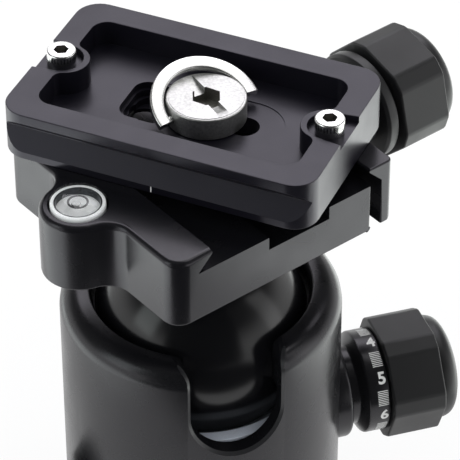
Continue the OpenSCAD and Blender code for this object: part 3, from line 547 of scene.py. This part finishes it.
def notch_tool():
    above = 12 * mm
    bm = bmesh.new()
    outline = [bm.verts.new((x * mm, 0, z * mm)) for x, z, _, _ in edge]
    outline += [bm.verts.new((edge[-1][0] * mm, 0, above)), bm.verts.new((edge[0][0] * mm, 0, above))]
    bm.faces.new(outline)
    thicken(bm, (0, -30, 0))
    bmesh.ops.recalc_face_normals(bm, faces=bm.faces)
    return settle("notch_tool", bm, None, turned_black, place=notch_turn)


# the bevel's tool is a four-sided bar along the edge. At each point it leans half way between
# the skin and the wall, and it thins out where the two nearly meet
notch_bevel = 0.6
least_square = 0.35
bar_reach = 0.5
bar_h = 1.2
rim_h = rim_top - ball_z
bm = bmesh.new()
rings = []
for x, z, i, j in edge:
    wall = Vector((i, 0, j))
    up = max(z - (rim_h - rim_round), 0)
    out_r = housing_r - rim_round + math.sqrt(max(rim_round ** 2 - min(up, rim_round) ** 2, 0))
    spot = Vector((x, -math.sqrt(out_r ** 2 - x ** 2), min(z, rim_h)))
    lean = min(up / rim_round, 1)
    skin = Vector((x, spot.y, 0)).normalized() * math.sqrt(1 - lean ** 2) + Vector((0, 0, lean))
    run = skin.cross(wall)
    square = run.length
    if square < least_square:
        continue
    run.normalize()
    width = notch_bevel * min(1, (square - 0.3) / 0.5)
    inward = run.cross(wall)
    inward = -inward if inward.dot(skin) > 0 else inward
    away = run.cross(skin)
    away = -away if away.dot(wall) < 0 else away
    slope = (away - inward).normalized()
    rise = run.cross(slope)
    rise = -rise if rise.dot(skin) < 0 else rise
    a = spot + inward * width - slope * bar_reach
    b = spot + away * width + slope * bar_reach
    ring = [bm.verts.new(p * mm) for p in (a, b, b + rise * bar_h, a + rise * bar_h)]
    rings.append([bm.edges.new((ring[n], ring[(n + 1) % 4])) for n in range(4)])
for a, b in zip(rings, rings[1:]):
    bmesh.ops.bridge_loops(bm, edges=a + b)
bmesh.ops.holes_fill(bm, edges=bm.edges, sides=4)
bmesh.ops.recalc_face_normals(bm, faces=bm.faces)
cut_edge = finish("cut_edge", (0.02, 0.02, 0.022), 0.3, grain=0.12, relief=0.006)
bevel_tool = settle("bevel_tool", bm, None, cut_edge, place=notch_turn)
cut(housing, [notch_tool(), bevel_tool, bar("lock_bore", 6.5, 19, 30, lock_line),
              bar("wedge_bore", 5, 0, 25.2, wedge_line), bar("pan_bore", 3.05, 0, 29, pan_line)])

# ---------------------------------------------------------------- works inside the housing
# The plunger and the fixed wedge of the lock, the bearings, discs and clips keep the shapes
# of their solids. So does the coned spring, copied with a mesh of its own and carried by the housing.
brass = finish("brass", (0.72, 0.56, 0.28), 0.3, metallic=1)
dress(dark_steel, "housing_circlip", "counter_wedge", "lock_plunger")
dress(brass, "pan_bearing", "lock_bush", "pan_shoe")
dress(liner_white, "pan_thrust_washer")
dress(anodised, "floor_disc", "pressure_cup")
bm = bmesh.new()
bm.from_mesh(nodes["cup_spring"].data)
bmesh.ops.remove_doubles(bm, verts=bm.verts, dist=1e-6)
coned_spring = settle("coned_spring", bm, "housing", dark_steel, ["cup_spring"])
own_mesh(coned_spring)

# ---------------------------------------------------------------- seat ring
# The ring under the rim that keeps the ball from lifting out of the cup. It is dull black
# and cut by the notch like the housing.
ball_gap_r = 21.1


def round_ball(radius, *heights):
    # corners of a profile on a sphere about the ball's centre
    return [(math.sqrt(radius ** 2 - h ** 2), ball_z + h, 0) for h in heights]


seat_black = finish("seat_black", (0.008, 0.008, 0.009), 0.6, mottle=0.08)
fill(seat_black.node_tree.nodes["Principled BSDF"], {"Specular IOR Level": 0.15})
seat_ring = settle("seat_turned", lathe(
    [(23.38, ball_z + 0.5, 0), (23.38, ball_z + 6.48, 0)]
    + round_ball(ball_gap_r, 6.48, 5.5, 4.4, 3.3, 2.2, 1.2, 0.5), 192),
    "housing", seat_black, ["seat_ring"])
cut(seat_ring, [notch_tool()])

# ---------------------------------------------------------------- index mark
# A white line low on the front of the housing. The panning angle is read under it, on the
# scale of the base.
index_z = 11.6
index = gather([wrap(stroke(2.2, 0.35), housing_r, turned(-90, "Y"))])
settle("pan_index", index, "housing", paint_white,
       place=shift(0, 0, index_z) @ turned(90, "Z"))

# ---------------------------------------------------------------- liner of the cup
# The pale low-friction ring that the ball rests on, moulded, with a bevelled mouth. It is
# pressed on the black cup and shows as a crescent at the bottom of the notch.
liner_r = 22.7
mouth = [(liner_r, 45, 0.1), (liner_r, 46, 0.15), (20.34, 46, 0.1), (16.34, 42, 0)]
bowl = round_ball(ball_gap_r, -13.5, -14, -14.5, -15, -15.5)
back = round_ball(liner_r, -15.5, -14.5, -13.5, -12.5, -11.5, -10.5)
settle("liner_ring", lathe(mouth + bowl + back, 192), "cup", liner_white, ["cup_liner"])

# ---------------------------------------------------------------- ball and neck
# A polished and black anodised ball. The turned neck stands on the top of it and flares out
# where the clamp sits.
ball_r = 21
ball_black = finish("ball_black", (0.004, 0.004, 0.005), 0.2, relief=0.0008, mottle=0.2, spread=0.03)
bm = bmesh.new()
bmesh.ops.create_uvsphere(bm, u_segments=128, v_segments=80, radius=ball_r * mm)
settle("ball_polished", bm, "ball", ball_black, ["ball"], place=shift(0, 0, ball_z))
neck_r = 8.5
neck_bore_r = 4.05
neck_top = ball_z + 28.35
bore = [(neck_bore_r, neck_top, 0), (neck_bore_r, ball_z + 20.71, 0)]
foot = round_ball(ball_gap_r, 20.69, 20.3, 19.8, 19.32)
flare = [(neck_r, neck_top - 3.2, 0), (11, neck_top - 0.7, 1.2), (11, neck_top, 0.15)]
settle("neck_turned", lathe(bore + foot + flare, 128), "neck", turned_black, ["neck"])

# ---------------------------------------------------------------- friction dial
# A turned black ring on the lock's bush that sets the drag. Its band is engraved with
# white numbers 45 degrees apart and a block of fine ticks between each pair.
dial_r = 10.2
dial_black = finish("dial_black", (0.007, 0.007, 0.008), 0.27, tint=(0.97, 0.95, 1.0),
                    rings=((0, 0, lock_z), "X"))
settle("dial_turned", lathe([
    (6.5, 28.35, 0.1), (7.9, 28.35, 0.2), (7.9, 30.05, 0.3), (dial_r, 31.35, 0.35), (dial_r, 35.65, 0.25),
    (9.2, 35.65, 0.1), (9.2, 35.0, 0), (6.5, 35.0, 0.1)], 144),
    "dial", dial_black, ["drag_dial"], place=lock_line)


def round_lock(degrees):
    # turns a mark laid at the top of the drum to an angle from +Y towards +Z
    return shift(0, 0, lock_z) @ turned(degrees - 90, "X")


number_step = 45
five_at = 139.5
number_x = 34.3
tick_x = 34.1
tick_gap = 0.37
dial_marks = []
for k in range(8):
    angle = five_at + number_step * (k - 4)
    number = digits(str(k + 1), 2.3)
    bmesh.ops.translate(number, verts=number.verts, vec=(number_x * mm, 0, 0))
    dial_marks.append(wrap(number, dial_r, round_lock(angle)))
    for n in range(9):
        tick = stroke(2.1, 0.16)
        bmesh.ops.translate(tick, verts=tick.verts, vec=(tick_x * mm, (n - 4) * tick_gap * mm, 0))
        dial_marks.append(wrap(tick, dial_r, round_lock(angle + number_step / 2)))
settle("dial_marks", gather(dial_marks), "dial", paint_white, sharp=40)

# ---------------------------------------------------------------- main locking knob
# A moulded black hub with a domed cap, and over it a six-sided grip of harder rubber.
# It turns on the lock screw, which drives the plunger into the cup.
knob_black = finish("knob_black", (0.009, 0.009, 0.01), 0.4, grain=0.22, relief=0.004)
grip_black = finish("grip_black", (0.012, 0.012, 0.013), 0.46, grain=0.16, relief=0.006)
grip_gap = 0.55  # from the collar to the grip


def knob_hub(collar, scale=1.0):
    # the collar as given, and from its front the hub inside the grip, straight rim and domed cap
    start = collar[-1][1]
    moulding = ((9, 0, 0), (9, 11.35, 0), (10.3, 11.35, 0.25), (10.3, 12.55, 0), (10.02, 13.6, 0.5),
                (9.2, 14.5, 0.6), (7.7, 15.15, 0), (0, 15.15, 0))
    return lathe(collar + [(r * scale, z * scale + start, f * scale) for r, z, f in moulding], 160)


def even(piece):
    # lets the broad flats keep their own normals, so only the narrow rounded edges turn
    step = piece.modifiers.new("even", "WEIGHTED_NORMAL")
    step.keep_sharp = True
    step.weight = 100
    apply_steps(piece)


def grip_ring(turn, scale=1.0):
    # six flats with narrow flats between them, round a bore for the hub
    flat, half, bore_r, length = 11.2, 4.5, 9.02, 10.8
    start = turn - 90
    bm = bmesh.new()
    bmesh.ops.create_circle(bm, cap_ends=False, segments=96, radius=bore_r * scale * mm)
    tip = math.hypot(flat, half)
    corner = math.degrees(math.atan2(half, flat))
    outer = []
    for k in range(6):
        for s in (-1, 1):
            a = math.radians(60 * k + start + s * corner)
            outer.append(bm.verts.new((math.cos(a) * tip * scale * mm, math.sin(a) * tip * scale * mm, 0)))
    for a, b in zip(outer, outer[1:] + outer[:1]):
        bm.edges.new((a, b))
    for v in outer:
        round_off(bm, [v], 0.55 * scale, 4, "VERTICES")
    bmesh.ops.triangle_fill(bm, use_beauty=True, edges=bm.edges[:], normal=(0, 0, 1))
    thicken(bm, (0, 0, length * scale))
    bmesh.ops.recalc_face_normals(bm, faces=bm.faces)
    beyond_bore = 9.5 * scale * mm
    rim = [e for e in bm.edges if len(e.link_faces) == 2 and e.calc_face_angle() > 1
           and e.verts[0].co.xy.length > beyond_bore and abs(e.verts[0].co.z - e.verts[1].co.z) < 1e-6]
    round_off(bm, rim, 0.42 * scale, 3, "EDGES")
    return bm


hub_line = lock_line @ shift(0, 0, 35.2)
settle("lock_hub", knob_hub([(0, 0, 0), (9, 0, 0.1)]), "main_lock", knob_black,
       ["lock_knob_core"], place=hub_line)
even(settle("lock_grip", grip_ring(24), "main_lock", grip_black, ["lock_knob_grip"],
            place=hub_line @ shift(0, 0, grip_gap)))
dress(dark_steel, "lock_screw")

# ---------------------------------------------------------------- panning knob
# The small knob on the far side that brakes the panning spindle. It is made like the main
# one, at 0.7 of its size, on a collar of its own.
small = 0.7
pan_collar = 2.8
pan_hub_line = pan_line @ shift(0, 0, 28.15)
settle("pan_hub", knob_hub([(0, 0, 0), (5.6, 0, 0.2), (5.6, pan_collar, 0)], small), "pan_lock", knob_black,
       ["pan_knob_core"], place=pan_hub_line)
even(settle("pan_grip", grip_ring(0, small), "pan_lock", grip_black, ["pan_knob_grip"],
            place=pan_hub_line @ shift(0, 0, pan_collar + small * grip_gap)))
dress(dark_steel, "pan_screw")

# ---------------------------------------------------------------- clamp
# The body of the screw clamp, milled from aluminium and anodised black, with softly broken
# edges. A bolt from its channel holds it on the neck; springs in it push the jaw open.
clamp_z = 83.9
jaw_top = 98.2
body_top = jaw_top - clamp_z
level_u = -27.5
clamp_line = shift(0, 0, clamp_z) @ turned(21.8, "Z")


def eased(node, passes, place):
    # a merged copy of a milled piece with its edges broken. Each pass gives a width, a number
    # of segments and the edges it takes
    least_corner = math.radians(28)
    bm = bmesh.new()
    bm.from_mesh(nodes[node].data)
    bmesh.ops.remove_doubles(bm, verts=bm.verts, dist=2e-6)
    bm.transform(place.inverted())
    bmesh.ops.dissolve_limit(bm, angle_limit=math.radians(0.7), verts=bm.verts, edges=bm.edges)
    for width, segments, takes in passes:
        edges = [e for e in bm.edges if len(e.link_faces) == 2 and e.is_convex
                 and e.calc_face_angle() > least_corner and takes([v.co / mm for v in e.verts])]
        round_off(bm, edges, width, segments, "EDGES", loop_slide=True)
    bm.transform(place)
    return bm


def top_rim(ends):
    # the outline of the top, but neither the fixed jaw's gripping edge nor the level's bore
    on_top = all(abs(p.z - body_top) < 0.01 for p in ends)
    grips = all(abs(p.x + 17) < 0.05 for p in ends)
    clear_of_level = all((p.xy - Vector((level_u, 0))).length > 5.8 for p in ends)
    return on_top and not grips and clear_of_level


def low_rim(ends):
    # the outline of the underside, but not the bolt's bore
    return all(abs(p.z) < 0.01 for p in ends) and all(p.xy.length > 8 for p in ends)


def post(ends):
    # the upright edges at the two ends of the body
    return abs(ends[0].z - ends[1].z) > 6 and all(abs(p.y) > 24.8 and p.x > -16 for p in ends)


clamp_passes = [(1.1, 4, top_rim), (0.5, 3, low_rim), (0.5, 3, post)]
even(settle("clamp_milled", eased("clamp_body", clamp_passes, clamp_line), "clamp", anodised,
            ["clamp_body"]))
dress(bright_steel, "clamp_bolt")
dress(dark_steel, "jaw_springs")

# ---------------------------------------------------------------- round level
# A white moulded cup pressed into the clamp's lobe, closed by a clear acrylic dome. The
# black ring and the bubble show over the white floor. Round the floor stands a dark grey glossy ring,
# which is painted reflection: it stands for the dark band that the dome's inner wall reflects.
level_floor = -1.0
level_line = clamp_line @ shift(level_u, 0, body_top)
level_white = finish("level_white", (0.95, 0.96, 0.96), 0.3, grain=0.5, relief=0.0005, mottle=0.02)
level_painted_dark = finish("level_painted_dark", (0.05, 0.055, 0.06), 0.12, metallic=0.6, grain=0.6, mottle=0.5)
level_clear = finish("level_clear", (0.97, 0.99, 0.98), 0.05, metallic=1, grain=2, relief=0.0002, mottle=0.01,
                     spread=0.01)
fill(level_clear.node_tree.nodes["Principled BSDF"], {"Alpha": 0.06})
level_air = finish("level_air", (0.99, 0.99, 0.99), 0.03, grain=2, relief=0.0002, mottle=0.01, spread=0.01)
fill(level_air.node_tree.nodes["Principled BSDF"], {"Transmission Weight": 1, "IOR": 1.33})
settle("level_cup", lathe([
    (0, -4.95, 0), (5.0, -4.95, 0.1), (5.05, 0.1, 0.1), (4.95, 0.46, 0.1), (4.35, 0.46, 0.1),
    (4.3, level_floor, 0), (0, level_floor, 0)], 128),
    "clamp", level_white, ["level_base"], place=level_line)
# a thin dark grey ring inside the cup's wall: painted dark reflection of the dome's inner wall
settle("level_painted_dark_ring", lathe([
    (4.0, level_floor - 0.02, 0), (4.33, level_floor - 0.02, 0), (4.36, 0.42, 0.05), (4.12, 0.42, 0.05)], 128),
    "clamp", level_painted_dark, place=level_line)
settle("level_dome_clear", lathe([
    (0, 0.5, 0), (5.1, 0.5, 0.1), (5.1, 0.95, 0.35), (4.4, 1.5, 0.5), (2.9, 1.98, 0), (1.5, 2.15, 0),
    (0, 2.2, 0)], 128),
    "clamp", level_clear, ["level_dome"], place=level_line)
ring_black = finish("ring_black", (0.015, 0.015, 0.016), 0.4)
settle("level_ring", lathe([(1.55, 0.44, 0), (1.95, 0.44, 0), (1.95, 0.49, 0), (1.55, 0.49, 0)], 96), "clamp",
       ring_black, place=level_line)
bm = bmesh.new()
bmesh.ops.create_uvsphere(bm, u_segments=48, v_segments=24, radius=0.9 * mm)
bmesh.ops.scale(bm, vec=(1, 1, 0.4), verts=bm.verts)
settle("level_bubble", bm, "clamp", level_air, place=level_line @ shift(-0.3, 0.1, 0))

# ---------------------------------------------------------------- sliding jaw
# The moving jaw of the clamp, black like the body, with a round boss for its screw. Two
# steel pins pressed into it slide in the body.
screw_z = 5.6


def jaw_edges(ends):
    # the outer edges, but not those of the screw's boss
    return all(p.x > 19.5 for p in ends) and all((p.yz - Vector((0, screw_z))).length > 8.3 for p in ends)


even(settle("jaw_milled", eased("sliding_jaw", [(0.35, 3, jaw_edges)], clamp_line), "jaw", anodised,
            ["sliding_jaw"]))
dress(dark_steel, "guide_pins")

# ---------------------------------------------------------------- clamp knob
# The knob that closes the jaw: the same moulding as the main one, with a waist and a
# collar before its grip, on a steel screw held by a clip.
clamp_hub_line = clamp_line @ shift(0, 0, screw_z) @ turned(90, "Y") @ shift(0, 0, 34.4)
clamp_collar = 5.4
collar = [(0, 0, 0), (7.2, 0, 0.2), (7.2, 2.5, 0.3), (10.2, 2.5, 0), (10.7, 3.0, 0.2), (10.7, 5.0, 0.3),
          (9, clamp_collar, 0)]
settle("clamp_hub", knob_hub(collar), "clamp_knob", knob_black, ["clamp_knob_core"],
       place=clamp_hub_line)
even(settle("clamp_grip", grip_ring(45.6), "clamp_knob", grip_black, ["clamp_knob_grip"],
            place=clamp_hub_line @ shift(0, 0, clamp_collar + grip_gap)))
dress(dark_steel, "clamp_screw", "screw_clip")

# ---------------------------------------------------------------- quick-release plate
# The plate lies upside down across the clamp: milled aluminium, anodised black with a
# violet cast, its edges lightly broken. Rubber pads are let into its camera side.
plate_top = 108.02
plate_t = 9.8
plate_turn = -40.4
plate_line = shift(0, 3.4, plate_top) @ turned(plate_turn, "Z")
plate_black = finish("plate_black", (0.006, 0.0056, 0.0092), 0.32, tint=(0.91, 0.87, 1.0), drawn=plate_turn)


def plate_edges(ends):
    # the level edges of its two broad faces
    on_faces = all(abs(p.z) < 0.02 or abs(p.z + plate_t) < 0.02 for p in ends)
    return on_faces and abs(ends[0].z - ends[1].z) < 0.01


even(settle("plate_milled", eased("camera_plate", [(0.22, 2, plate_edges)], plate_line), "plate", plate_black,
            ["camera_plate"]))
# a short white line at the middle of the foot of its long side
centre_mark = gather([stroke(0.22, 1.2)])
thicken(centre_mark, (0, 0, mark_t))
bmesh.ops.recalc_face_normals(centre_mark, faces=centre_mark.faces)
settle("plate_mark", centre_mark, "plate", paint_white,
       place=plate_line @ shift(0, -18.98, -8.94) @ turned(90, "X"))
pad_rubber = finish("pad_rubber", (0.02, 0.02, 0.02), 0.7, grain=0.4, relief=0.03)
dress(pad_rubber, "plate_pads")
dress(dark_steel, "screw_retainer")

# ---------------------------------------------------------------- stop screws
# Two nickel plated socket-head screws that keep the plate from sliding out of the clamp.
# Their heads are knurled with fine flutes.
stop_x = 26.5
stop_head_r = 2.75
flute_count = 28
# the walls of the hexagon sockets take a darker steel than the heads: painted shade in the recesses
shaded_socket_steel = finish("shaded_socket_steel", (0.3, 0.29, 0.27), 0.4, metallic=1, relief=0.002, mottle=0.2)


def socket(radius, low, high, place):
    return bar("socket", radius, low, high, place, sides=6, material=shaded_socket_steel)


for name, side in (("stop_screw_left", -1), ("stop_screw_right", 1)):
    seat = plate_line @ shift(side * stop_x, 0, 0)
    screw = settle(name, lathe([
        (0, -8.4, 0), (1.5, -8.4, 0.2), (1.5, -1.3, 0), (2.68, -1.3, 0.15), (stop_head_r, 1.8, 0.38),
        (0, 1.8, 0)], 96),
        "plate", bright_steel, ["stop_screws"], place=seat)
    flutes = bmesh.new()
    for k in range(flute_count):
        turn = seat @ turned(360 / flute_count * k, "Z") @ shift(stop_head_r + 0.11, 0, 0)
        flute = bar("flute", 0.17, -2, 1.25, turn, sides=6)
        flutes.from_mesh(flute.data)
        bpy.data.objects.remove(flute)
    cut(screw, [settle("flutes", flutes, None, anodised), socket(1.45, 0.2, 4, seat)])

# ---------------------------------------------------------------- camera screw
# The captive screw of the plate, nickel plated steel: a broad turned head with a coin slot
# and a hexagon socket, a plain neck and a quarter-inch thread.
head_top = -0.43
head_r = 7.4
slot_half = 1.05
slot_depth = 1.4
coin_r = 16.0
camera_pitch = 1.27
screw_line = plate_line @ shift(2.5, 0, 0)
screw_centre = screw_line @ Vector((0, 0, 0)) / mm
head_steel = finish("head_steel", (0.62, 0.62, 0.605), 0.42, metallic=1, grain=0.5, relief=0.002, mottle=0.16,
                    spread=0.07, rings=(tuple(screw_centre), "Z"), ring_relief=0.0016)
head = settle("camera_screw_head", lathe([
    (0, -14.8, 0), (2.4, -14.8, 0), (2.75, -14.2, 0), (2.75, -9.82, 0), (2.6, -9.82, 0), (2.6, -4.93, 0),
    (head_r, -4.93, 0.25), (head_r, head_top - 0.1, 0.3), (6.95, head_top - 0.1, 0), (6.9, head_top, 0),
    (0, head_top, 0)], 192),
    "camera_screw", head_steel, ["camera_screw"], place=screw_line)
coin_turn = screw_line @ turned(-36, "Z")
coin = bar("coin_wheel", coin_r, -slot_half, slot_half,
           coin_turn @ shift(-0.85, 0, head_top - slot_depth + coin_r) @ turned(90, "X"),
           sides=192, material=head_steel)
ring_turn = screw_line @ shift(0, 0, -2.68) @ turned(56, "Z")
pin_bores = [bar("pin_bore", 0.75, 5.4, 9, ring_turn @ turned(way, "Y"), sides=32) for way in (90, -90)]
# the hexagon socket's walls get the darker steel, painted shade in the recess
cut(head, [socket(2.85, head_top - 2.6, 2, coin_turn), coin] + pin_bores)
settle("camera_screw_thread", thread(2.7, 3.17, camera_pitch, -14.6, -9.85), "camera_screw", bright_steel,
       place=screw_line, sharp=50)

# ---------------------------------------------------------------- D-ring
# A bright half ring of pressed steel that turns on two short pins in the sides of the
# screw's head. It stands a little way up.
ring_in = 7.95
ring_out = 10.45
ring_half = 0.75
ring_lift = 24
past_half = 4.9
bm = bmesh.new()
section = ((ring_in, -ring_half), (ring_out, -ring_half), (ring_out, ring_half), (ring_in, ring_half))
band = [bm.verts.new((r * mm, 0, z * mm)) for r, z in section]
for k in range(4):
    bm.edges.new((band[k], band[(k + 1) % 4]))
for v in band:
    round_off(bm, [v], 0.28, 3, "VERTICES")
bmesh.ops.rotate(bm, cent=(0, 0, 0), matrix=Matrix.Rotation(math.radians(-past_half), 3, "Z"), verts=bm.verts)
bmesh.ops.spin(bm, geom=bm.verts[:] + bm.edges[:], cent=(0, 0, 0), axis=(0, 0, 1),
               angle=math.radians(180 + 2 * past_half), steps=96, use_merge=False, use_duplicate=False)
bmesh.ops.holes_fill(bm, edges=bm.edges, sides=0)
bmesh.ops.recalc_face_normals(bm, faces=bm.faces)
for s in (-1, 1):
    bmesh.ops.create_cone(bm, cap_ends=True, segments=32, radius1=0.7 * mm, radius2=0.7 * mm, depth=2.9 * mm,
                          matrix=shift(s * 7.05, 0, 0) @ turned(90, "Y"))
settle("d_ring_pressed", bm, "ring", bright_steel, ["d_ring"],
       place=ring_turn @ turned(ring_lift, "X"))
